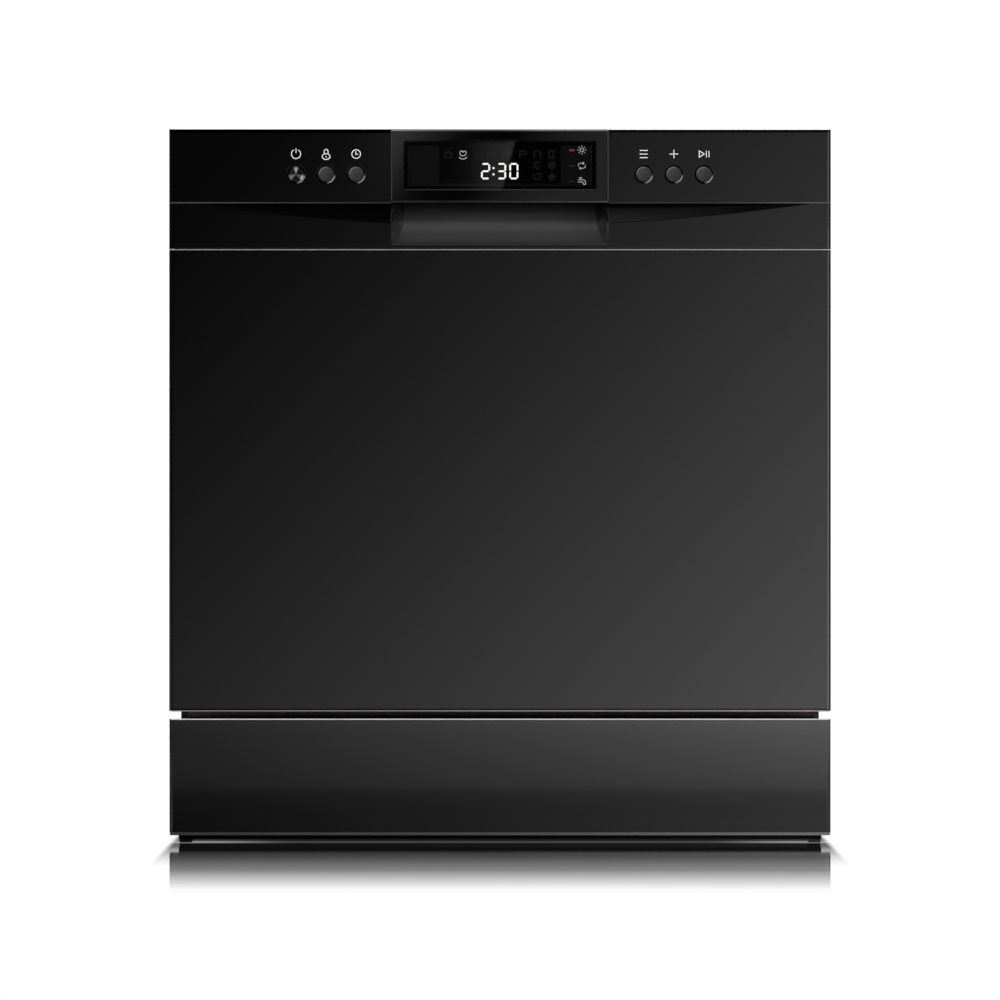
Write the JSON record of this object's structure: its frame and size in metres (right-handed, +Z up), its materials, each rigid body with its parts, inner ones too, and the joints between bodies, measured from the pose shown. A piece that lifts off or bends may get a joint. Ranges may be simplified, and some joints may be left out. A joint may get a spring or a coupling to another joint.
{
  "type": "countertop dishwasher",
  "caption": "Compact free-standing dishwasher with a drop-down door, display and push buttons, handle pocket, steel tub, sliding wire racks and rotating spray arms",
  "frame": {"origin": "middle of the footprint on the worktop", "axes": "+Z up, the door and its controls face -Y, +X to the viewer's right when facing the door"},
  "size_m": [0.55, 0.5, 0.594],
  "materials": {
    "gloss_black_panel": "high gloss black",
    "black_paint": "fine satin black enamel",
    "black_plastic": "moulded black",
    "window_glass": "smoked clear window",
    "circuit_board": "green board with black parts",
    "stainless": "brushed sheet",
    "zinc_steel": "zinc plated",
    "spun_metal": "spun aluminium cap",
    "button_black": "satin gloss black",
    "grey_plastic": "moulded grey",
    "white_plastic": "moulded white",
    "seal_rubber": "soft black",
    "rack_wire": "nylon coated wire",
    "mesh_steel": "perforated sheet",
    "pump_aluminium": "cast housing",
    "white_tank": "natural plastic"
  },
  "bodies": {
    "cabinet": {"base_tray": "black_plastic", "feet": "seal_rubber", "kick_panel": "gloss_black_panel", "side_panel_left": "black_paint", "side_panel_right": "black_paint", "top_cover": "black_paint", "rear_panel": "black_paint", "tub_wrap": "stainless", "tub_back": "stainless", "tub_floor": "grey_plastic", "tub_gasket": "seal_rubber", "sump": "grey_plastic", "filter_plate": "mesh_steel", "wash_pump": "pump_aluminium", "drain_pump": "black_plastic", "feed_tube": "grey_plastic", "softener_tank": "white_tank", "inlet_valve": "white_plastic", "drain_outlet": "black_plastic", "cable_gland": "black_plastic", "hinge_brackets": "zinc_steel", "door_springs": "zinc_steel", "rail_brackets": "grey_plastic", "striker": "zinc_steel", "panel_screws": "zinc_steel"},
    "door": {"door_panel": "gloss_black_panel", "control_fascia": "gloss_black_panel", "display_frame": "gloss_black_panel", "display_window": "window_glass", "control_board": "circuit_board", "inner_door_panel": "stainless", "dispenser_body": "grey_plastic", "latch_housing": "black_plastic", "hinge_arm_left": "zinc_steel", "hinge_arm_right": "zinc_steel", "door_seal": "seal_rubber"},
    "power_button": {"power_button": "spun_metal"},
    "lock_button": {"lock_button": "button_black"},
    "delay_button": {"delay_button": "button_black"},
    "program_button": {"program_button": "button_black"},
    "extra_button": {"extra_button": "button_black"},
    "start_button": {"start_button": "button_black"},
    "dispenser_lid": {"dispenser_lid": "white_plastic"},
    "rinse_cap": {"rinse_cap": "white_plastic"},
    "latch_hook": {"latch_hook": "white_plastic"},
    "filter_cup": {"filter_cup": "grey_plastic"},
    "salt_cap": {"salt_cap": "white_plastic"},
    "float": {"float": "white_plastic"},
    "lower_spray_arm": {"lower_spray_arm": "grey_plastic"},
    "lower_rack": {"lower_rack": "rack_wire", "cutlery_basket": "grey_plastic"},
    "lower_wheels_front": {"lower_wheels_front": "grey_plastic"},
    "lower_wheels_rear": {"lower_wheels_rear": "grey_plastic"},
    "upper_rack": {"upper_rack": "rack_wire", "arm_duct": "grey_plastic"},
    "upper_spray_arm": {"upper_spray_arm": "grey_plastic"},
    "cup_shelf": {"cup_shelf": "rack_wire"},
    "upper_rollers_front": {"upper_rollers_front": "white_plastic"},
    "upper_rollers_rear": {"upper_rollers_rear": "white_plastic"}
  },
  "joints": [
    {"name": "door_hinge", "type": "hinge", "parent": "cabinet", "child": "door", "pos_m": [0, -0.235, 0.125], "axis": [1, 0, 0], "range_deg": [0, 90]},
    {"name": "power_press", "type": "slide", "parent": "door", "child": "power_button", "axis": [0, 1, 0], "range_m": [0, 0.0015], "stiffness_N_per_m": 700, "springref_m": -0.0008},
    {"name": "lock_press", "type": "slide", "parent": "door", "child": "lock_button", "axis": [0, 1, 0], "range_m": [0, 0.0015], "stiffness_N_per_m": 700, "springref_m": -0.0008},
    {"name": "delay_press", "type": "slide", "parent": "door", "child": "delay_button", "axis": [0, 1, 0], "range_m": [0, 0.0015], "stiffness_N_per_m": 700, "springref_m": -0.0008},
    {"name": "program_press", "type": "slide", "parent": "door", "child": "program_button", "axis": [0, 1, 0], "range_m": [0, 0.0015], "stiffness_N_per_m": 700, "springref_m": -0.0008},
    {"name": "extra_press", "type": "slide", "parent": "door", "child": "extra_button", "axis": [0, 1, 0], "range_m": [0, 0.0015], "stiffness_N_per_m": 700, "springref_m": -0.0008},
    {"name": "start_press", "type": "slide", "parent": "door", "child": "start_button", "axis": [0, 1, 0], "range_m": [0, 0.0015], "stiffness_N_per_m": 700, "springref_m": -0.0008},
    {"name": "dispenser_lid_hinge", "type": "hinge", "parent": "door", "child": "dispenser_lid", "pos_m": [0, -0.1889, 0.304], "axis": [-1, 0, 0], "range_deg": [0, 90]},
    {"name": "rinse_cap_turn", "type": "hinge", "parent": "door", "child": "rinse_cap", "pos_m": [0.038, -0.1935, 0.336], "axis": [0, 1, 0], "range_deg": [0, 90]},
    {"name": "latch_pivot", "type": "hinge", "parent": "door", "child": "latch_hook", "pos_m": [0, -0.214, 0.574], "axis": [1, 0, 0], "range_deg": [0, 8], "stiffness_Nm_per_rad": 0.5, "springref_deg": -2.86},
    {"name": "filter_turn", "type": "hinge", "parent": "cabinet", "child": "filter_cup", "pos_m": [0, -0.0946, 0.158], "axis": [0, 0, 1], "range_deg": [0, 90]},
    {"name": "salt_cap_turn", "type": "hinge", "parent": "cabinet", "child": "salt_cap", "pos_m": [-0.12, -0.0696, 0.16], "axis": [0, 0, 1], "range_deg": [0, 360]},
    {"name": "float_rise", "type": "slide", "parent": "cabinet", "child": "float", "axis": [0, 0, 1], "range_m": [0, 0.012]},
    {"name": "lower_arm_spin", "type": "hinge", "parent": "cabinet", "child": "lower_spray_arm", "pos_m": [0, 0.0124, 0.182], "axis": [0, 0, 1], "continuous": true},
    {"name": "lower_rack_slide", "type": "slide", "parent": "cabinet", "child": "lower_rack", "axis": [0, -1, 0], "range_m": [0, 0.36]},
    {"name": "lower_wheels_front_roll", "type": "hinge", "parent": "lower_rack", "child": "lower_wheels_front", "pos_m": [0, -0.12, 0.1842], "axis": [1, 0, 0], "continuous": true},
    {"name": "lower_wheels_rear_roll", "type": "hinge", "parent": "lower_rack", "child": "lower_wheels_rear", "pos_m": [0, 0.1398, 0.1842], "axis": [1, 0, 0], "continuous": true},
    {"name": "upper_rack_slide", "type": "slide", "parent": "cabinet", "child": "upper_rack", "axis": [0, -1, 0], "range_m": [0, 0.33]},
    {"name": "upper_arm_spin", "type": "hinge", "parent": "upper_rack", "child": "upper_spray_arm", "pos_m": [0, 0.0124, 0.349], "axis": [0, 0, 1], "continuous": true},
    {"name": "cup_shelf_fold", "type": "hinge", "parent": "upper_rack", "child": "cup_shelf", "pos_m": [-0.193, 0, 0.446], "axis": [0, 1, 0], "range_deg": [0, 90]},
    {"name": "upper_rollers_front_roll", "type": "hinge", "parent": "cabinet", "child": "upper_rollers_front", "pos_m": [0, -0.174, 0.42], "axis": [1, 0, 0], "continuous": true},
    {"name": "upper_rollers_rear_roll", "type": "hinge", "parent": "cabinet", "child": "upper_rollers_rear", "pos_m": [0, -0.148, 0.42], "axis": [1, 0, 0], "continuous": true}
  ],
  "couplings": [
    {"joint": "upper_rack_slide", "follows": "door_hinge", "m_per_rad": 0.21},
    {"joint": "lower_rack_slide", "follows": "door_hinge", "m_per_rad": 0.075},
    {"joint": "upper_rollers_front_roll", "follows": "door_hinge", "ratio": 23.333},
    {"joint": "upper_rollers_rear_roll", "follows": "door_hinge", "ratio": 23.333},
    {"joint": "lower_wheels_front_roll", "follows": "door_hinge", "ratio": 4.6875},
    {"joint": "lower_wheels_rear_roll", "follows": "door_hinge", "ratio": 4.6875}
  ]
}
